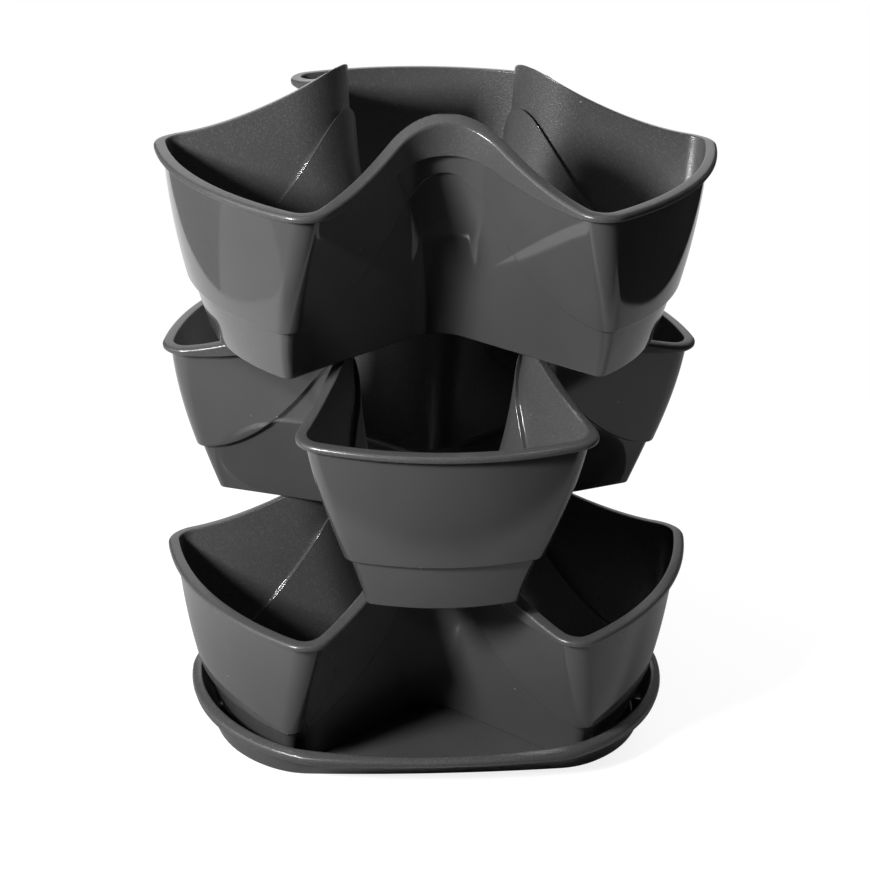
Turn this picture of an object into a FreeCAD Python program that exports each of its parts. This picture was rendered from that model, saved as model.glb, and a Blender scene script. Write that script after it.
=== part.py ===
import FreeCAD, Part
import math
import os
import Sketcher

# Vertical planter tower: three identical three-lobed pots stacked on a drip saucer.
# Millimetres, +Z up, origin on the ground under the middle of the saucer, front towards -Y.
# A pot is drawn as outlines at four heights. An outline is the middle of the wall, and a
# skin is how far a surface stands out from it, so the inside face has a negative skin.

doc = FreeCAD.newDocument("planter_tower")

# Driving sizes

SIZES = {
    # one pot, measured from the bottom edge of its foot
    "wall": 2.4,
    "rim_height": 135.5,
    "hump_rise": 41.2,
    "waist_height": 67.7,
    "crest_spare": 6.0,
    # outline at the foot
    "foot_reach": 169.5,
    "foot_lobe_round": 172.0,
    "foot_corner_round": 8.5,
    "foot_nose": 45.8,
    "foot_valley_round": 25.4,
    # outline at the waist
    "waist_reach": 186.3,
    "waist_lobe_round": 204.5,
    "waist_corner_round": 12.2,
    "waist_corner_spread": 67.0,
    "waist_nose": 68.1,
    "waist_valley_round": 36.2,
    # outline at the rim, which goes on up to the crest of the humps
    "rim_reach": 192.9,
    "rim_lobe_round": 225.0,
    "rim_corner_round": 14.0,
    "rim_corner_spread": 83.6,
    "rim_nose": 79.0,
    "rim_valley_round": 47.0,
    "crest_nose": 81.3,
    # the step in the wall, low on the lobes and high in the valleys
    "step_inset": 4.0,
    "step_low": 42.5,
    "step_high": 138.0,
    "step_outer_radius": 182.0,
    "step_sweep": 150.0,
    # the rolled rim, which deepens to a skirt in the valleys
    "lip_reach": 7.4,
    "lip_drop": 4.8,
    "skirt_drop": 25.5,
    "rim_sweep": 259.0,
    "skirt_sweep": 281.0,
    # floor of a pot, and how the next pot sits over the humps
    "floor_thick": 3.0,
    "nest_depth": 16.1,
    "seat_gap": 0.2,
    "nest_clearance": 1.0,
    "drain_hole": 9.0,
    "drain_outer": 118.0,
    "drain_inner": 62.0,
    # saucer
    "saucer_floor": 3.0,
    "saucer_wall": 2.6,
    "saucer_height": 33.7,
    "saucer_base_reach": 178.8,
    "saucer_base_lobe_round": 88.0,
    "saucer_base_side": 132.7,
    "saucer_base_side_round": 1500.0,
    "saucer_base_corner_round": 60.0,
    "saucer_rim_reach": 187.4,
    "saucer_rim_lobe_round": 137.0,
    "saucer_rim_side": 161.5,
    "saucer_rim_side_round": 385.0,
    "saucer_rim_corner_round": 60.0,
    "saucer_lip_reach": 8.2,
    "saucer_lip_drop": 9.9,
    "saucer_lip_fall": 3.0,
    "rib_thick": 2.4,
    "rib_height": 10.0,
    "rib_clearance": 1.5,
}

LOBES = 3
LOBE_STEP = 360.0 / LOBES
VALLEY_BEARING = LOBE_STEP / 2
# the bottom and top pots have a lobe at the back, and the middle pot is turned by half a step
BACK = 90.0
# saucer ribs stand this far to each side of a lobe's middle, in degrees
RIB_BEARING = 12.0
POT_LEVELS = ("foot", "waist", "rim", "crest")
# a sketch's horizontal axis, and the ends and middle of its edges
AXIS, UPRIGHT = -1, -2
START, END, MIDDLE = 1, 2, 3


# Plane geometry

def polar(radius, degrees):
    turn = math.radians(degrees)
    return FreeCAD.Vector(radius * math.cos(turn), radius * math.sin(turn), 0)


def bearing(vector):
    return math.degrees(math.atan2(vector.y, vector.x))


def mirrored(point):
    return FreeCAD.Vector(point.x, -point.y, 0)


def turned(point, degrees):
    return polar(point.Length, bearing(point) + degrees)


def arc_between(middle, radius, start, end):
    """An arc from one bearing to another, anticlockwise."""
    circle = Part.Circle(middle, FreeCAD.Vector(0, 0, 1), radius)
    return Part.ArcOfCircle(circle, math.radians(start), math.radians(end))


def sweep_centre(low, high, radius):
    """Middle of an arc that sweeps up from low on the outside to high on the inside, hollow side up."""
    chord = high - low
    rise = math.sqrt(radius ** 2 - chord.Length ** 2 / 4)
    return low + chord * 0.5 + FreeCAD.Vector(chord.y, -chord.x, 0).normalize() * rise


# Sheet, with the driving sizes and those that follow from them

sheet = doc.addObject("Spreadsheet::Sheet", "Sizes")
sizes = {}


def put(name, value):
    """One named size in the next row of the sheet."""
    sizes[name] = value
    row = len(sizes)
    sheet.set(f"A{row}", name)
    sheet.set(f"B{row}", repr(round(value, 6)))
    sheet.setAlias(f"B{row}", name)


def lobe_centre(level):
    """Middle of the large arc across a lobe's face."""
    return FreeCAD.Vector(sizes[level + "_reach"] - sizes[level + "_lobe_round"], 0, 0)


def corner_centre(level):
    """Middle of a pot's corner arc, which touches the face arc from inside."""
    spread = sizes[level + "_corner_spread"]
    inner = sizes[level + "_lobe_round"] - sizes[level + "_corner_round"]
    return lobe_centre(level) + FreeCAD.Vector(math.sqrt(inner ** 2 - spread ** 2), spread, 0)


def valley_centre(level):
    """Middle of the arc at a valley's bottom, out in the open between two lobes."""
    return polar(sizes[level + "_nose"] + sizes[level + "_valley_round"], VALLEY_BEARING)


def side_normal(level):
    """Bearing of the outward normal of the straight side between a corner and a valley."""
    across = valley_centre(level) - corner_centre(level)
    lean = math.acos((sizes[level + "_corner_round"] + sizes[level + "_valley_round"]) / across.Length)
    return bearing(across) - math.degrees(lean)


def rim_radius_at(height):
    """Distance from the axis at which the swept rim passes a height above the foot."""
    low = FreeCAD.Vector(sizes["rim_outer_radius"], sizes["rim_height"], 0)
    high = FreeCAD.Vector(sizes["crest_nose"], sizes["hump_height"], 0)
    middle = sweep_centre(low, high, sizes["rim_sweep"])
    return middle.x - math.sqrt(sizes["rim_sweep"] ** 2 - (middle.y - height) ** 2)


def hump_edge():
    """Where the rim of a hump passes the foot of the pot above, in that pot's lobe."""
    normal = polar(1, side_normal("rim") - VALLEY_BEARING)
    offset = valley_centre("rim").Length * normal.x - sizes["rim_valley_round"]
    along = math.sqrt(rim_radius_at(sizes["pitch"]) ** 2 - offset ** 2)
    return FreeCAD.Vector(offset * normal.x + along * normal.y, along * normal.x - offset * normal.y, 0)


def foot_corner_spread():
    """Sideways place of the foot's corner arcs, with its sides clear of the humps below."""
    room = sizes["wall"] + sizes["step_inset"] + sizes["nest_clearance"]
    beside = hump_edge() + FreeCAD.Vector(0, room, 0)
    across = valley_centre("foot") - beside
    lean = math.acos(sizes["foot_valley_round"] / across.Length)
    normal = polar(1, bearing(across) - math.degrees(lean))
    depth = (beside - lobe_centre("foot")).dot(normal) - sizes["foot_corner_round"]
    run = math.sqrt((sizes["foot_lobe_round"] - sizes["foot_corner_round"]) ** 2 - depth ** 2)
    return depth * normal.y - run * normal.x


for size_name, size_value in SIZES.items():
    put(size_name, size_value)

# skins of the pot
put("outer_skin", sizes["wall"] / 2)
put("inner_skin", -sizes["wall"] / 2)
put("lower_outer_skin", sizes["outer_skin"] - sizes["step_inset"])
put("lower_inner_skin", sizes["inner_skin"] - sizes["step_inset"])
put("lip_skin", sizes["lip_reach"])
put("skirt_inner_skin", sizes["lip_reach"] - sizes["wall"])

# heights of the pot, and how far one pot stands above the next
put("foot_height", 0.0)
put("hump_height", sizes["rim_height"] + sizes["hump_rise"])
put("crest_height", sizes["hump_height"] + sizes["crest_spare"])
put("lip_bottom", sizes["rim_height"] - sizes["lip_drop"])
put("skirt_bottom", sizes["hump_height"] - sizes["skirt_drop"])
put("pitch", sizes["hump_height"] - sizes["nest_depth"])
put("seat_height", sizes["nest_depth"] + sizes["seat_gap"])
put("floor_top", sizes["seat_height"] + sizes["floor_thick"])

# outlines that follow from others
for shared in ("reach", "lobe_round", "corner_round", "corner_spread", "valley_round"):
    put("crest_" + shared, sizes["rim_" + shared])
put("rim_outer_radius", corner_centre("rim").Length + sizes["rim_corner_round"])
put("foot_corner_spread", foot_corner_spread())

# cutting tools
put("no_shift", 0.0)
put("flange_shift", -sizes["wall"])
put("ledge_shift", -sizes["wall"])
put("tool_radius", 2 * sizes["rim_reach"])
put("tool_bottom", -sizes["rim_height"])
put("tool_top", 2 * sizes["crest_height"])

# saucer
put("saucer_outer_skin", sizes["saucer_wall"] / 2)
put("saucer_inner_skin", -sizes["saucer_wall"] / 2)
put("saucer_lip_skin", sizes["saucer_lip_reach"])
put("saucer_lip_hollow_skin", sizes["saucer_lip_reach"] - sizes["saucer_wall"])
put("saucer_base_height", 0.0)
put("saucer_rim_height", sizes["saucer_height"])
put("saucer_lip_low_height", sizes["saucer_height"] - sizes["saucer_lip_drop"])
put("saucer_lip_edge_height", sizes["saucer_height"] - sizes["saucer_lip_fall"])
put("saucer_hollow_low_height", sizes["saucer_lip_low_height"] - sizes["saucer_wall"])
put("saucer_hollow_top_height", sizes["saucer_lip_edge_height"] - sizes["saucer_wall"])
for level_name in ("saucer_lip_low", "saucer_lip_edge", "saucer_hollow_low", "saucer_hollow_top"):
    for shared in ("reach", "lobe_round", "side", "side_round", "corner_round"):
        put(f"{level_name}_{shared}", sizes["saucer_rim_" + shared])
put("rib_inner", sizes["foot_reach"] + sizes["outer_skin"] + sizes["rib_clearance"])
doc.recompute()


# Sketches

def new_sketch(body, level):
    """An empty sketch in a body, level with a height on the sheet."""
    sketch = body.newObject("Sketcher::SketchObject", f"{body.Name}_{level}")
    ground = next(o for o in body.Origin.OriginFeatures if o.Role == "XY_Plane")
    sketch.AttachmentSupport = (ground, [""])
    sketch.MapMode = "FlatFace"
    sketch.setExpression("AttachmentOffset.Base.z", f"Sizes.{level}_height")
    return sketch


def constrain(sketch, rules, dimensions):
    """Add constraints to a sketch, and tie each dimension to its expression on the sheet."""
    for rule in rules:
        sketch.addConstraint(Sketcher.Constraint(*rule))
    for kind, places, value, expression in dimensions:
        index = sketch.addConstraint(Sketcher.Constraint(kind, *places, value))
        sketch.setExpression(f"Constraints[{index}]", expression)


def pot_sketch(body, level, skin):
    """One lobe of a pot's outline as a wedge from the axis, with straight sides and round valleys."""
    grow = sizes[skin]
    lobe_mid, corner_mid, valley_mid = lobe_centre(level), corner_centre(level), valley_centre(level)
    lobe_round = sizes[level + "_lobe_round"] + grow
    corner_round = sizes[level + "_corner_round"] + grow
    valley_round = sizes[level + "_valley_round"] - grow
    normal = side_normal(level)
    face = bearing(corner_mid - lobe_mid)
    nose = polar(sizes[level + "_nose"] + grow, VALLEY_BEARING)
    corner_end = corner_mid + polar(corner_round, normal)
    valley_end = valley_mid - polar(valley_round, normal)
    origin = FreeCAD.Vector(0, 0, 0)
    sketch = new_sketch(body, level)
    ray_a, valley_a, side_a, corner_a, front, corner_b, side_b, valley_b, ray_b = sketch.addGeometry([
        Part.LineSegment(origin, mirrored(nose)),
        arc_between(mirrored(valley_mid), valley_round, 180 - normal, 180 - VALLEY_BEARING),
        Part.LineSegment(mirrored(valley_end), mirrored(corner_end)),
        arc_between(mirrored(corner_mid), corner_round, -normal, -face),
        arc_between(lobe_mid, lobe_round, -face, face),
        arc_between(corner_mid, corner_round, face, normal),
        Part.LineSegment(corner_end, valley_end),
        arc_between(valley_mid, valley_round, 180 + VALLEY_BEARING, 180 + normal),
        Part.LineSegment(origin, nose),
    ], False)
    tip = sketch.addGeometry(Part.Point(lobe_mid + polar(lobe_round, 0)), True)
    constrain(sketch, [
        ("Coincident", ray_a, START, AXIS, START),
        ("Coincident", ray_b, START, AXIS, START),
        ("Coincident", ray_a, END, valley_a, END),
        ("Coincident", ray_b, END, valley_b, START),
        ("PointOnObject", valley_a, MIDDLE, ray_a),
        ("PointOnObject", valley_b, MIDDLE, ray_b),
        ("Tangent", valley_a, START, side_a, START),
        ("Tangent", side_a, END, corner_a, START),
        ("Tangent", corner_a, END, front, START),
        ("Tangent", front, END, corner_b, START),
        ("Tangent", corner_b, END, side_b, START),
        ("Tangent", side_b, END, valley_b, END),
        ("PointOnObject", front, MIDDLE, AXIS),
        ("PointOnObject", tip, START, AXIS),
        ("PointOnObject", tip, START, front),
        ("Symmetric", corner_a, MIDDLE, corner_b, MIDDLE, AXIS),
        ("Symmetric", valley_a, MIDDLE, valley_b, MIDDLE, AXIS),
        ("Equal", valley_a, valley_b),
        ("Angle", ray_b, math.radians(VALLEY_BEARING)),
    ], [
        ("Distance", (ray_b,), nose.Length, f"Sizes.{level}_nose + Sizes.{skin}"),
        ("Radius", (valley_b,), valley_round, f"Sizes.{level}_valley_round - Sizes.{skin}"),
        ("Radius", (corner_b,), corner_round, f"Sizes.{level}_corner_round + Sizes.{skin}"),
        ("Radius", (front,), lobe_round, f"Sizes.{level}_lobe_round + Sizes.{skin}"),
        ("DistanceX", (AXIS, START, tip, START), lobe_mid.x + lobe_round, f"Sizes.{level}_reach + Sizes.{skin}"),
        ("DistanceY", (AXIS, START, corner_b, MIDDLE), corner_mid.y, f"Sizes.{level}_corner_spread"),
    ])
    return sketch


def saucer_sketch(body, level, skin):
    """The saucer's whole outline: for each lobe its arc between two corners, then a gently bowed side."""
    grow = sizes[skin]
    reach = sizes[level + "_reach"] + grow
    lobe_round = sizes[level + "_lobe_round"] + grow
    side = sizes[level + "_side"] + grow
    side_round = sizes[level + "_side_round"] + grow
    corner_round = sizes[level + "_corner_round"] + grow
    lobe_mid = polar(reach - lobe_round, 0)
    side_mid = polar(side - side_round, VALLEY_BEARING)
    across = side_mid - lobe_mid
    to_lobe, to_side = lobe_round - corner_round, side_round - corner_round
    along = (to_lobe ** 2 - to_side ** 2 + across.Length ** 2) / (2 * across.Length)
    corner_mid = lobe_mid + polar(along, bearing(across)) + polar(
        math.sqrt(to_lobe ** 2 - along ** 2), bearing(across) + 90)
    face = bearing(corner_mid - lobe_mid)
    meet = bearing(corner_mid - side_mid)
    sketch = new_sketch(body, level)
    arcs, lobe_rays, side_rays = [], [], []
    for lobe in range(LOBES):
        turn = lobe * LOBE_STEP
        arcs += sketch.addGeometry([
            arc_between(turned(mirrored(corner_mid), turn), corner_round, turn - meet, turn - face),
            arc_between(turned(lobe_mid, turn), lobe_round, turn - face, turn + face),
            arc_between(turned(corner_mid, turn), corner_round, turn + face, turn + meet),
            arc_between(turned(side_mid, turn), side_round, turn + meet, turn + LOBE_STEP - meet),
        ], False)
        lobe_rays.append(sketch.addGeometry(Part.LineSegment(polar(0, 0), polar(reach, turn)), True))
        side_rays.append(sketch.addGeometry(
            Part.LineSegment(polar(0, 0), polar(side, turn + VALLEY_BEARING)), True))
    corners, fronts, sides = arcs[0::2], arcs[1::4], arcs[3::4]
    rules = [("Tangent", arc, END, following, START) for arc, following in zip(arcs, arcs[1:] + arcs[:1])]
    for lobe in range(LOBES):
        turn = math.radians(lobe * LOBE_STEP)
        for ray, arc, away in ((lobe_rays[lobe], fronts[lobe], 0), (side_rays[lobe], sides[lobe], VALLEY_BEARING)):
            rules += [
                ("Coincident", ray, START, AXIS, START),
                ("Angle", ray, turn + math.radians(away)),
                ("PointOnObject", arc, MIDDLE, ray),
                ("PointOnObject", ray, END, arc),
            ]
    for alike in (corners, fronts, sides, lobe_rays, side_rays):
        rules += [("Equal", alike[0], other) for other in alike[1:]]
    constrain(sketch, rules, [
        ("Distance", (lobe_rays[0],), reach, f"Sizes.{level}_reach + Sizes.{skin}"),
        ("Distance", (side_rays[0],), side, f"Sizes.{level}_side + Sizes.{skin}"),
        ("Radius", (fronts[0],), lobe_round, f"Sizes.{level}_lobe_round + Sizes.{skin}"),
        ("Radius", (sides[0],), side_round, f"Sizes.{level}_side_round + Sizes.{skin}"),
        ("Radius", (corners[0],), corner_round, f"Sizes.{level}_corner_round + Sizes.{skin}"),
    ])
    return sketch


# Solids

def lofted_body(name, draw, sections, ruled):
    """A body lofted through outlines, each a level and a skin, with the loft as its tip."""
    body = doc.addObject("PartDesign::Body", name)
    outlines = [draw(body, level, skin) for level, skin in sections]
    doc.recompute()
    loft = body.newObject("PartDesign::AdditiveLoft", name + "_loft")
    loft.Profile = outlines[0]
    loft.Sections = outlines[1:]
    loft.Ruled = ruled
    doc.recompute()
    return body, loft


def pot_form(name, skin):
    """A solid pot whose surface stands out from the drawn outlines by a skin."""
    body, loft = lofted_body(name, pot_sketch, [(level, skin) for level in POT_LEVELS], False)
    pattern = body.newObject("PartDesign::PolarPattern", name + "_lobes")
    pattern.Originals = [loft]
    pattern.Axis = (loft.Profile[0], ["N_Axis"])
    pattern.Angle = 360
    pattern.Occurrences = LOBES
    body.Tip = pattern
    return body


def saucer_form(name, *sections):
    """A solid with straight flanks through outlines of the saucer."""
    body, loft = lofted_body(name, saucer_sketch, sections, True)
    return body


def swept_tool(name, outer, inner, sweep, shift, far_end):
    """All that lies beyond a surface which sweeps up from outer to inner, turned about the axis.

    outer and inner each name a distance from the axis and a height, and far_end the height
    at which the tool stops, above or below the surface.
    """
    low = FreeCAD.Vector(sizes[outer[0]], sizes[outer[1]] + sizes[shift], 0)
    high = FreeCAD.Vector(sizes[inner[0]], sizes[inner[1]] + sizes[shift], 0)
    middle = sweep_centre(low, high, sizes[sweep])
    edge, limit = sizes["tool_radius"], sizes[far_end]
    corners = [high] + [FreeCAD.Vector(x, z, 0) for x, z in
                        ((0, high.y), (0, limit), (edge, limit), (edge, low.y))] + [low]
    sketch = doc.addObject("Sketcher::SketchObject", name + "_profile")
    sketch.Placement = FreeCAD.Placement(FreeCAD.Vector(0, 0, 0), FreeCAD.Rotation(FreeCAD.Vector(1, 0, 0), 90))
    edges = [arc_between(middle, sizes[sweep], bearing(high - middle), bearing(low - middle))]
    edges += [Part.LineSegment(a, b) for a, b in zip(corners, corners[1:])]
    arc, inner_flat, spindle, end_flat, outside, outer_flat = sketch.addGeometry(edges, False)
    constrain(sketch, [
        ("Coincident", arc, START, inner_flat, START),
        ("Coincident", inner_flat, END, spindle, START),
        ("Coincident", spindle, END, end_flat, START),
        ("Coincident", end_flat, END, outside, START),
        ("Coincident", outside, END, outer_flat, START),
        ("Coincident", outer_flat, END, arc, END),
        ("Horizontal", inner_flat),
        ("Horizontal", end_flat),
        ("Horizontal", outer_flat),
        ("Vertical", spindle),
        ("Vertical", outside),
        ("PointOnObject", spindle, START, UPRIGHT),
    ], [
        ("Radius", (arc,), sizes[sweep], f"Sizes.{sweep}"),
        ("DistanceX", (AXIS, START, arc, START), high.x, f"Sizes.{inner[0]}"),
        ("DistanceY", (AXIS, START, arc, START), high.y, f"Sizes.{inner[1]} + Sizes.{shift}"),
        ("DistanceX", (AXIS, START, arc, END), low.x, f"Sizes.{outer[0]}"),
        ("DistanceY", (AXIS, START, arc, END), low.y, f"Sizes.{outer[1]} + Sizes.{shift}"),
        ("DistanceX", (AXIS, START, end_flat, END), edge, "Sizes.tool_radius"),
        ("DistanceY", (AXIS, START, end_flat, END), limit, f"Sizes.{far_end}"),
    ])
    turned = doc.addObject("Part::Revolution", name)
    turned.Source = sketch
    turned.Axis = FreeCAD.Vector(0, 0, 1)
    turned.Angle = 360
    turned.Solid = True
    return turned


def slab(name, bottom, top):
    """A wide disc between two heights."""
    disc = doc.addObject("Part::Cylinder", name)
    disc.setExpression("Radius", "Sizes.tool_radius")
    disc.setExpression("Height", f"Sizes.{top} - Sizes.{bottom}")
    disc.setExpression("Placement.Base.z", f"Sizes.{bottom}")
    return disc


def cut(name, base, tool):
    result = doc.addObject("Part::Cut", name)
    result.Base = base
    result.Tool = tool
    return result


def fuse(name, shapes):
    result = doc.addObject("Part::MultiFuse", name)
    result.Shapes = shapes
    return result


def common(name, shapes):
    result = doc.addObject("Part::MultiCommon", name)
    result.Shapes = shapes
    return result


def drain_hole(ring, turn):
    """A hole through a pot's floor, on a ring named on the sheet."""
    hole = doc.addObject("Part::Cylinder", f"{ring}_{turn:.0f}")
    hole.setExpression("Radius", "Sizes.drain_hole / 2")
    hole.setExpression("Height", "Sizes.floor_top")
    hole.setExpression("Placement.Base.x", f"Sizes.{ring} * cos({turn})")
    hole.setExpression("Placement.Base.y", f"Sizes.{ring} * sin({turn})")
    hole.setExpression("Placement.Base.z", "Sizes.nest_depth / 2")
    return hole


def make_pot():
    """One pot standing on its foot, with a lobe along +X."""
    rim = [("rim_outer_radius", "rim_height"), ("crest_nose", "hump_height"), "rim_sweep"]
    skirt = [("rim_outer_radius", "lip_bottom"), ("crest_nose", "skirt_bottom"), "skirt_sweep"]
    step = [("step_outer_radius", "step_low"), ("crest_nose", "step_high"), "step_sweep"]
    above_rim = swept_tool("above_rim", *rim, "no_shift", "tool_top")
    above_flange = swept_tool("above_flange", *rim, "flange_shift", "tool_top")
    below_skirt = swept_tool("below_skirt", *skirt, "no_shift", "tool_bottom")
    below_step = swept_tool("below_step", *step, "no_shift", "tool_bottom")
    below_ledge = swept_tool("below_ledge", *step, "ledge_shift", "tool_bottom")
    lower_inner = pot_form("lower_inner_form", "lower_inner_skin")

    # the outside: the upper wall, stepping in to the lower wall, and the rim with its hanging skirt
    beside_lower = cut("beside_lower_wall", below_ledge, pot_form("lower_outer_form", "lower_outer_skin"))
    stepped = cut("stepped_form", pot_form("outer_form", "outer_skin"), beside_lower)
    rim_blank = cut("rim_blank", pot_form("lip_form", "lip_skin"), below_skirt)
    rim_core = cut("rim_core", pot_form("skirt_hollow_form", "skirt_inner_skin"), above_flange)
    blank = fuse("pot_blank", [stepped, cut("rim_cap", rim_blank, rim_core)])

    # the hollows: soil above the floor, the humps of the pot below under it, and drain holes between
    beside_ledge = cut("beside_ledge", below_step, lower_inner)
    cavity = cut("cavity", pot_form("inner_form", "inner_skin"), beside_ledge)
    soil_space = cut("soil_space", cavity, slab("below_soil", "tool_bottom", "floor_top"))
    foot_space = cut("foot_space", lower_inner, slab("above_seat", "seat_height", "tool_top"))
    turns = [lobe * LOBE_STEP for lobe in range(LOBES)]
    holes = [drain_hole(ring, turn) for ring in ("drain_inner", "drain_outer") for turn in turns]
    hollow = fuse("pot_hollow", [soil_space, foot_space, above_rim] + holes)
    return cut("pot", blank, hollow)


def saucer_rib(turn):
    """An upright rib across the gap between the saucer's wall and the pot's foot."""
    rib = doc.addObject("Part::Box", f"rib_{turn:.0f}")
    rib.setExpression("Length", "Sizes.saucer_rim_reach - Sizes.rib_inner")
    rib.setExpression("Width", "Sizes.rib_thick")
    rib.setExpression("Height", "Sizes.saucer_floor / 2 + Sizes.rib_height")
    rib.Placement = FreeCAD.Placement(FreeCAD.Vector(0, 0, 0), FreeCAD.Rotation(FreeCAD.Vector(0, 0, 1), turn))
    rib.setExpression("Placement.Base.x", f"Sizes.rib_inner * cos({turn}) + Sizes.rib_thick / 2 * sin({turn})")
    rib.setExpression("Placement.Base.y", f"Sizes.rib_inner * sin({turn}) - Sizes.rib_thick / 2 * cos({turn})")
    rib.setExpression("Placement.Base.z", "Sizes.saucer_floor / 2")
    return rib


def make_saucer():
    """The saucer on the ground, with a lobe along +X."""
    outer = saucer_form("saucer_outer_form", ("saucer_base", "saucer_outer_skin"),
                        ("saucer_lip_edge", "saucer_outer_skin"))
    inner = saucer_form("saucer_inner_form", ("saucer_base", "saucer_inner_skin"),
                        ("saucer_rim", "saucer_inner_skin"))
    lip = saucer_form("saucer_lip_form", ("saucer_lip_low", "saucer_lip_skin"),
                      ("saucer_lip_edge", "saucer_lip_skin"), ("saucer_rim", "saucer_outer_skin"))
    hollow = saucer_form("saucer_lip_hollow", ("saucer_hollow_low", "saucer_lip_hollow_skin"),
                         ("saucer_hollow_top", "saucer_lip_hollow_skin"))
    dish = fuse("saucer_blank", [cut("saucer_lip_shell", lip, hollow), outer])
    water_space = cut("water_space", inner, slab("below_water", "tool_bottom", "saucer_floor"))
    turns = [lobe * LOBE_STEP + side * RIB_BEARING for lobe in range(LOBES) for side in (-1, 1)]
    ribs = common("saucer_ribs", [fuse("rib_blanks", [saucer_rib(turn) for turn in turns]), outer])
    return fuse("saucer_whole", [cut("saucer_dish", dish, water_space), ribs])


# The assembly

def piece(label, shape, turn, height):
    """A sub-part of the tower, turned about the axis and raised to its place."""
    placed = doc.addObject("Part::Compound", label)
    placed.Label = label
    placed.Links = [shape]
    placed.Placement = FreeCAD.Placement(FreeCAD.Vector(0, 0, 0), FreeCAD.Rotation(FreeCAD.Vector(0, 0, 1), turn))
    placed.setExpression("Placement.Base.z", height)
    return placed


pot = make_pot()
pieces = [
    piece("saucer", make_saucer(), BACK, "0 mm"),
    piece("bottom_pot", pot, BACK, "Sizes.saucer_floor"),
    piece("middle_pot", pot, BACK + VALLEY_BEARING, "Sizes.saucer_floor + Sizes.pitch"),
    piece("top_pot", pot, BACK, "Sizes.saucer_floor + 2 * Sizes.pitch"),
]
doc.recompute()

# Checks and files

for obj in doc.Objects:
    if "Invalid" in obj.State or "Error" in obj.State:
        raise RuntimeError(f"{obj.Name} failed to build")
    if obj.TypeId == "Sketcher::SketchObject" and not obj.FullyConstrained:
        raise RuntimeError(f"{obj.Name} isn't fully constrained")
for sub_part in pieces:
    if sub_part.Shape.isNull() or not sub_part.Shape.isValid() or len(sub_part.Shape.Solids) != 1:
        raise RuntimeError(f"{sub_part.Label} isn't one sound solid")

os.makedirs("parts", exist_ok=True)
for sub_part in pieces:
    sub_part.Shape.exportStep(f"parts/{sub_part.Label}.step")
    box = sub_part.Shape.BoundBox
    print(sub_part.Label, f"{sub_part.Shape.Volume / 1000:.1f} cm3,",
          f"{box.XLength:.1f} x {box.YLength:.1f} x {box.ZLength:.1f} mm, up to {box.ZMax:.1f}")
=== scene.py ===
import math
import bpy
import numpy as np
from mathutils import Matrix, Vector, geometry


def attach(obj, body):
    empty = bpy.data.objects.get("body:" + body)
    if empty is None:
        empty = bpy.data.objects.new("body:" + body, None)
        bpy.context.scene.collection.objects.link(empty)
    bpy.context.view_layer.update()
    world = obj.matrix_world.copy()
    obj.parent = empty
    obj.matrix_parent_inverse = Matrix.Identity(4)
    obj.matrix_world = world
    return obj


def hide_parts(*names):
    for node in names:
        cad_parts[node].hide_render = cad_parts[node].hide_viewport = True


# Vertical planter tower: three alike three-lobed pots stacked on a drip saucer.
# Sizes are in millimetres until a piece is handed over, and a lobe is drawn along +X.
# A skin is how far a surface stands out from the middle of the wall.

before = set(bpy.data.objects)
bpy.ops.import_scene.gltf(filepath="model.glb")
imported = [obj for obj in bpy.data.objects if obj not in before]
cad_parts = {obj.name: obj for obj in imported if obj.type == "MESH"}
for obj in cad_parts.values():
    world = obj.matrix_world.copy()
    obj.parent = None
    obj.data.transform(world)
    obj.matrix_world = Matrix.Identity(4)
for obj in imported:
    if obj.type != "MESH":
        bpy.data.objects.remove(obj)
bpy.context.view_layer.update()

METRES = 0.001
LOBES = 3
VALLEY_TURN = math.radians(60)

# Pot outline, the middle of its wall, at four heights above the foot
POT_HEIGHTS = (0.0, 67.7, 135.5, 182.7)
POT_OUTLINE = {
    "reach": (169.5, 186.3, 192.9, 192.9),
    "lobe_round": (172.0, 204.5, 225.0, 225.0),
    "corner_round": (8.5, 12.2, 14.0, 14.0),
    "corner_spread": (48.9, 67.0, 83.6, 83.6),
    "nose": (45.8, 68.1, 79.0, 81.3),
    "valley_round": (25.4, 36.2, 47.0, 47.0),
}
# Faces from the middle of a lobe to the middle of a valley
POT_STATIONS = (("face", 18), ("corner", 12), ("side", 30), ("valley", 16))

WALL = 2.4
OUTSIDE = WALL / 2
INSIDE = -WALL / 2
STEP_INSET = 4.0
FLOOR_TOP = 19.3
FLOOR_FILLET = 3.0
SEAT_HEIGHT = 16.3
SEAT_FILLET = 1.0
SEAT_FILLET_CUT = 0.3
FOOT_ROUND = 0.7
ABOVE_FOOT = 1.8

# Rim: level on the lobes, sweeping up to the humps over the valleys
RIM_HEIGHT = 135.5
HUMP_RISE = 41.2
RIM_FAR = 196.9
RIM_NEAR = 81.2
RIM_SWEEP = 1.69
BELOW_RIM = 2.4

# Lip and its skirt: the lip's outer round is fuller on the lobes than on the humps
LIP_REACH = 7.4
LIP_DROP = 4.8
LIP_INNER_ROUND = 0.9
LIP_TOP = ((1.2, 0.05), (3.0, 0.2))
LIP_SHOULDER = 0.35
LIP_TURN = 82
LOBE_LIP_ROUND = 2.7
HUMP_LIP_ROUND = 1.6
UNDER_LIP_FILLET = 0.5
BEHIND_SKIRT_FILLET = 0.4
SKIRT_DROP = 20.8
SKIRT_SWEEP = 1.23
SKIRT_ROUND = 0.75
ABOVE_SKIRT_ROUND = 0.35

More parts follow.
